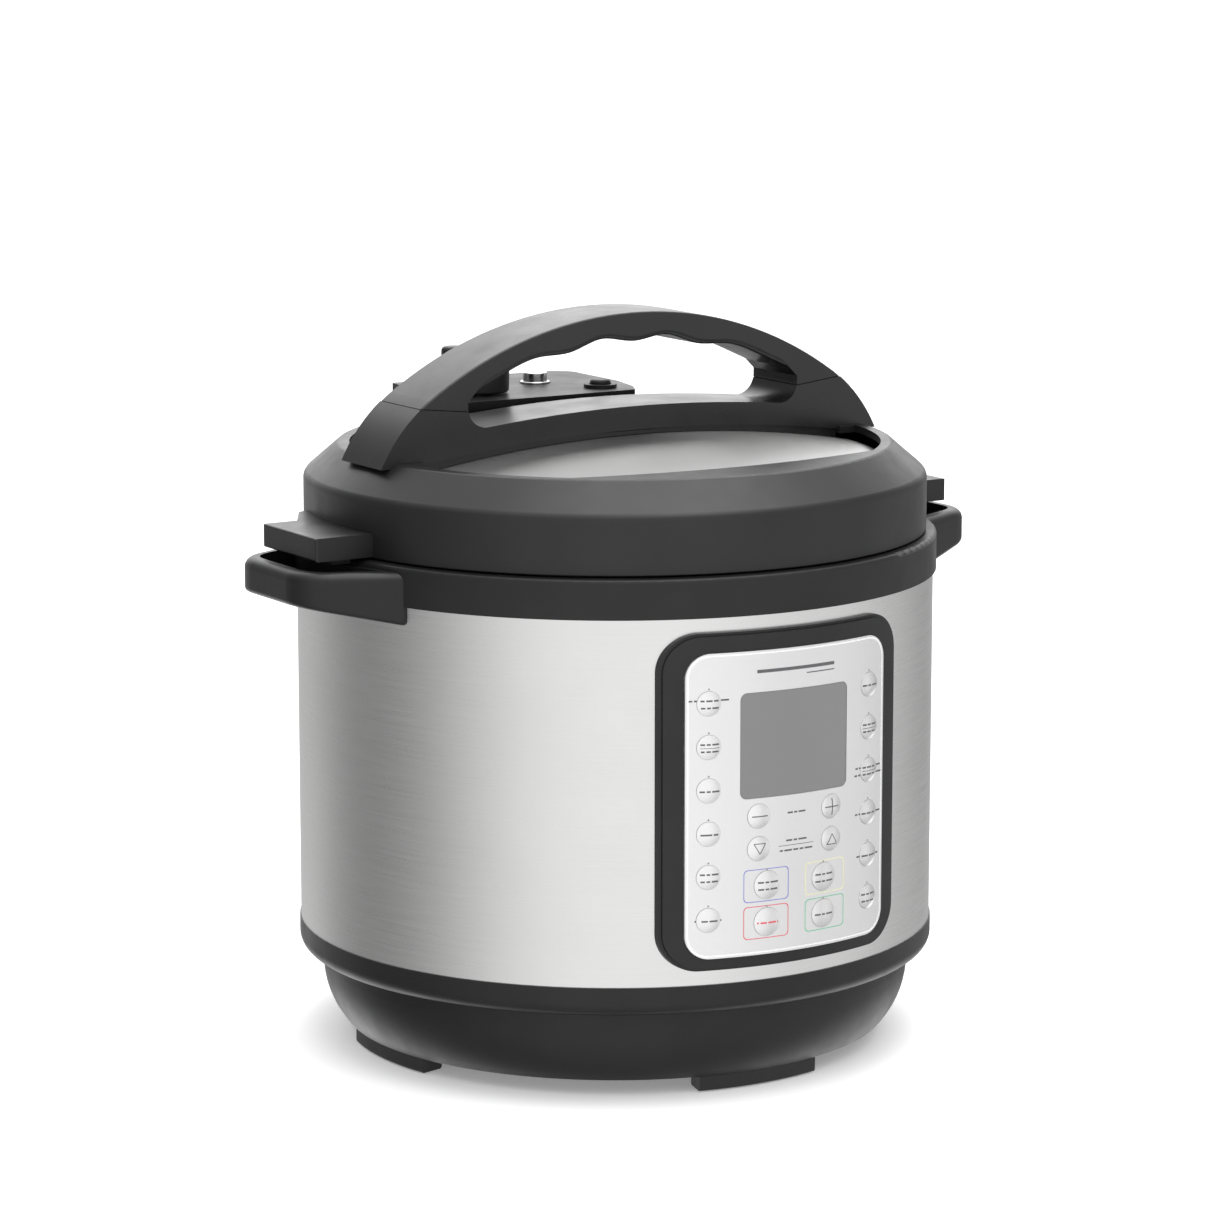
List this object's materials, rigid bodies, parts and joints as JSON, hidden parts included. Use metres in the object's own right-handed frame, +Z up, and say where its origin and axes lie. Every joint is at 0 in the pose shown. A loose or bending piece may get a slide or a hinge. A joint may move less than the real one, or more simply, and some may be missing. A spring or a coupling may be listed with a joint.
{
  "type": "electric pressure cooker",
  "caption": "Cylindrical electric pressure cooker in brushed steel and black, with a twist-off lid, arched handle, keyed control panel and lift-out pot.",
  "frame": {"origin": "on the pot's axis, at the plane the feet stand on", "axes": "+Z up, -Y towards the control panel, X along the side handles and the lid handle"},
  "size_m": [0.294, 0.2582, 0.2743],
  "materials": {
    "black_plastic": "satin moulded black",
    "lid_plastic": "satin moulded black",
    "handle_plastic": "fine textured black",
    "platform_plastic": "fine textured black",
    "knob_plastic": "satin black",
    "bezel_plastic": "semi-gloss black",
    "foot_rubber": "matt rubber",
    "inlet_plastic": "matt black",
    "rail_plastic": "matt black",
    "component_plastic": "matt off-white",
    "brushed_shell": "fine brushed round the body",
    "lid_steel": "satin pressed steel",
    "inner_steel": "satin",
    "pot_steel": "polished inside, satin outside",
    "pipe_steel": "turned",
    "float_metal": "polished",
    "screw_steel": "zinc plated",
    "spring_steel": "plain wire",
    "rack_wire": "polished wire",
    "element_sheath": "heat-tinted",
    "cast_aluminium": "as cast, turned on top",
    "circuit_board": "green solder mask",
    "silver_film": "pearl silver film",
    "display_grey": "unlit grey window",
    "display_frame": "matt grey",
    "key_dome": "pearl silver dome",
    "clear_cup": "clear moulded",
    "silicone_ring": "translucent silicone",
    "silicone_seal": "translucent silicone"
  },
  "bodies": {
    "base": {"base_housing": "black_plastic", "feet": "foot_rubber", "base_screws": "screw_steel", "steel_shell": "brushed_shell", "collar": "black_plastic", "heater_housing": "inner_steel", "heating_plate": "cast_aluminium", "heating_element": "element_sheath", "sensor_spring": "spring_steel", "plate_bracket": "inner_steel", "pressure_switch": "component_plastic", "thermal_fuse": "element_sheath", "power_board": "circuit_board", "control_board": "circuit_board", "panel_bezel": "bezel_plastic", "panel_overlay": "silver_film", "display_lens": "display_grey", "lcd_module": "display_frame", "power_inlet": "inlet_plastic", "inlet_screws": "screw_steel", "collector_rail": "rail_plastic"},
    "pot": {"inner_pot": "pot_steel"},
    "seal": {"sealing_ring": "silicone_ring"},
    "lid": {"lid_cover": "lid_plastic", "lid_pan": "lid_steel", "handle_base": "handle_plastic", "handle_grip": "handle_plastic", "handle_screws": "screw_steel", "valve_platform": "platform_plastic", "steam_pipe": "pipe_steel", "ring_rack": "rack_wire", "release_spring": "spring_steel"},
    "release_knob": {"steam_release_knob": "knob_plastic"},
    "release_weight": {"valve_weight": "pipe_steel"},
    "float": {"float_valve": "float_metal", "float_seal": "silicone_seal"},
    "button": {"release_button": "knob_plastic"},
    "shield": {"anti_block_shield": "pipe_steel"},
    "cup": {"condensation_collector": "clear_cup"},
    "sensor": {"temperature_sensor": "cast_aluminium"},
    "key_left_1": {"key_left_1": "key_dome"},
    "key_left_2": {"key_left_2": "key_dome"},
    "key_left_3": {"key_left_3": "key_dome"},
    "key_left_4": {"key_left_4": "key_dome"},
    "key_left_5": {"key_left_5": "key_dome"},
    "key_left_6": {"key_left_6": "key_dome"},
    "key_right_1": {"key_right_1": "key_dome"},
    "key_right_2": {"key_right_2": "key_dome"},
    "key_right_3": {"key_right_3": "key_dome"},
    "key_right_4": {"key_right_4": "key_dome"},
    "key_right_5": {"key_right_5": "key_dome"},
    "key_right_6": {"key_right_6": "key_dome"},
    "key_minus": {"key_minus": "key_dome"},
    "key_plus": {"key_plus": "key_dome"},
    "key_down": {"key_down": "key_dome"},
    "key_up": {"key_up": "key_dome"},
    "key_delay": {"key_delay": "key_dome"},
    "key_warm": {"key_warm": "key_dome"},
    "key_cancel": {"key_cancel": "key_dome"},
    "key_start": {"key_start": "key_dome"}
  },
  "joints": [
    {"name": "lid_turn", "type": "hinge", "parent": "seal", "child": "lid", "pos_m": [0, 0, 0.2], "axis": [0, 0, 1], "range_deg": [0, 30]},
    {"name": "lid_lift", "type": "slide", "parent": "pot", "child": "seal", "axis": [0, 0, 1], "range_m": [0, 0.25]},
    {"name": "pot_lift", "type": "slide", "parent": "base", "child": "pot", "axis": [0, 0, 1], "range_m": [0, 0.18]},
    {"name": "steam_release", "type": "hinge", "parent": "lid", "child": "release_knob", "pos_m": [-0.033, 0.047, 0.25], "axis": [0, 0, 1], "range_deg": [0, 45]},
    {"name": "weight_lift", "type": "slide", "parent": "lid", "child": "release_weight", "axis": [0, 0, 1], "range_m": [0, 0.002]},
    {"name": "float_drop", "type": "slide", "parent": "lid", "child": "float", "axis": [0, 0, 1], "range_m": [-0.006, 0]},
    {"name": "button_press", "type": "slide", "parent": "lid", "child": "button", "axis": [0, 0, -1], "range_m": [0, 0.0025], "stiffness_N_per_m": 400, "springref_m": -0.0005, "deforming": ["release_spring"]},
    {"name": "shield_pull", "type": "slide", "parent": "lid", "child": "shield", "axis": [0, 0, -1], "range_m": [0, 0.02]},
    {"name": "cup_slide", "type": "slide", "parent": "base", "child": "cup", "axis": [0, 1, 0], "range_m": [0, 0.05]},
    {"name": "sensor_dip", "type": "slide", "parent": "base", "child": "sensor", "axis": [0, 0, -1], "range_m": [0, 0.0015], "stiffness_N_per_m": 600, "springref_m": -0.0005, "deforming": ["sensor_spring"]},
    {"name": "key_left_1_press", "type": "slide", "parent": "base", "child": "key_left_1", "axis": [0.279, 0.9603, 0], "range_m": [0, 0.0006], "stiffness_N_per_m": 1000, "springref_m": -0.0001},
    {"name": "key_left_2_press", "type": "slide", "parent": "base", "child": "key_left_2", "axis": [0.279, 0.9603, 0], "range_m": [0, 0.0006], "stiffness_N_per_m": 1000, "springref_m": -0.0001},
    {"name": "key_left_3_press", "type": "slide", "parent": "base", "child": "key_left_3", "axis": [0.279, 0.9603, 0], "range_m": [0, 0.0006], "stiffness_N_per_m": 1000, "springref_m": -0.0001},
    {"name": "key_left_4_press", "type": "slide", "parent": "base", "child": "key_left_4", "axis": [0.279, 0.9603, 0], "range_m": [0, 0.0006], "stiffness_N_per_m": 1000, "springref_m": -0.0001},
    {"name": "key_left_5_press", "type": "slide", "parent": "base", "child": "key_left_5", "axis": [0.279, 0.9603, 0], "range_m": [0, 0.0006], "stiffness_N_per_m": 1000, "springref_m": -0.0001},
    {"name": "key_left_6_press", "type": "slide", "parent": "base", "child": "key_left_6", "axis": [0.279, 0.9603, 0], "range_m": [0, 0.0006], "stiffness_N_per_m": 1000, "springref_m": -0.0001},
    {"name": "key_right_1_press", "type": "slide", "parent": "base", "child": "key_right_1", "axis": [-0.279, 0.9603, 0], "range_m": [0, 0.0006], "stiffness_N_per_m": 1000, "springref_m": -0.0001},
    {"name": "key_right_2_press", "type": "slide", "parent": "base", "child": "key_right_2", "axis": [-0.279, 0.9603, 0], "range_m": [0, 0.0006], "stiffness_N_per_m": 1000, "springref_m": -0.0001},
    {"name": "key_right_3_press", "type": "slide", "parent": "base", "child": "key_right_3", "axis": [-0.279, 0.9603, 0], "range_m": [0, 0.0006], "stiffness_N_per_m": 1000, "springref_m": -0.0001},
    {"name": "key_right_4_press", "type": "slide", "parent": "base", "child": "key_right_4", "axis": [-0.279, 0.9603, 0], "range_m": [0, 0.0006], "stiffness_N_per_m": 1000, "springref_m": -0.0001},
    {"name": "key_right_5_press", "type": "slide", "parent": "base", "child": "key_right_5", "axis": [-0.279, 0.9603, 0], "range_m": [0, 0.0006], "stiffness_N_per_m": 1000, "springref_m": -0.0001},
    {"name": "key_right_6_press", "type": "slide", "parent": "base", "child": "key_right_6", "axis": [-0.279, 0.9603, 0], "range_m": [0, 0.0006], "stiffness_N_per_m": 1000, "springref_m": -0.0001},
    {"name": "key_minus_press", "type": "slide", "parent": "base", "child": "key_minus", "axis": [0.1262, 0.992, 0], "range_m": [0, 0.0006], "stiffness_N_per_m": 1000, "springref_m": -0.0001},
    {"name": "key_plus_press", "type": "slide", "parent": "base", "child": "key_plus", "axis": [-0.1262, 0.992, 0], "range_m": [0, 0.0006], "stiffness_N_per_m": 1000, "springref_m": -0.0001},
    {"name": "key_down_press", "type": "slide", "parent": "base", "child": "key_down", "axis": [0.1262, 0.992, 0], "range_m": [0, 0.0006], "stiffness_N_per_m": 1000, "springref_m": -0.0001},
    {"name": "key_up_press", "type": "slide", "parent": "base", "child": "key_up", "axis": [-0.1262, 0.992, 0], "range_m": [0, 0.0006], "stiffness_N_per_m": 1000, "springref_m": -0.0001},
    {"name": "key_delay_press", "type": "slide", "parent": "base", "child": "key_delay", "axis": [0.0985, 0.9951, 0], "range_m": [0, 0.0006], "stiffness_N_per_m": 1000, "springref_m": -0.0001},
    {"name": "key_warm_press", "type": "slide", "parent": "base", "child": "key_warm", "axis": [-0.0985, 0.9951, 0], "range_m": [0, 0.0006], "stiffness_N_per_m": 1000, "springref_m": -0.0001},
    {"name": "key_cancel_press", "type": "slide", "parent": "base", "child": "key_cancel", "axis": [0.0985, 0.9951, 0], "range_m": [0, 0.0006], "stiffness_N_per_m": 1000, "springref_m": -0.0001},
    {"name": "key_start_press", "type": "slide", "parent": "base", "child": "key_start", "axis": [-0.0985, 0.9951, 0], "range_m": [0, 0.0006], "stiffness_N_per_m": 1000, "springref_m": -0.0001}
  ],
  "couplings": [
    {"joint": "weight_lift", "follows": "steam_release", "m_per_rad": 0.0025465}
  ]
}
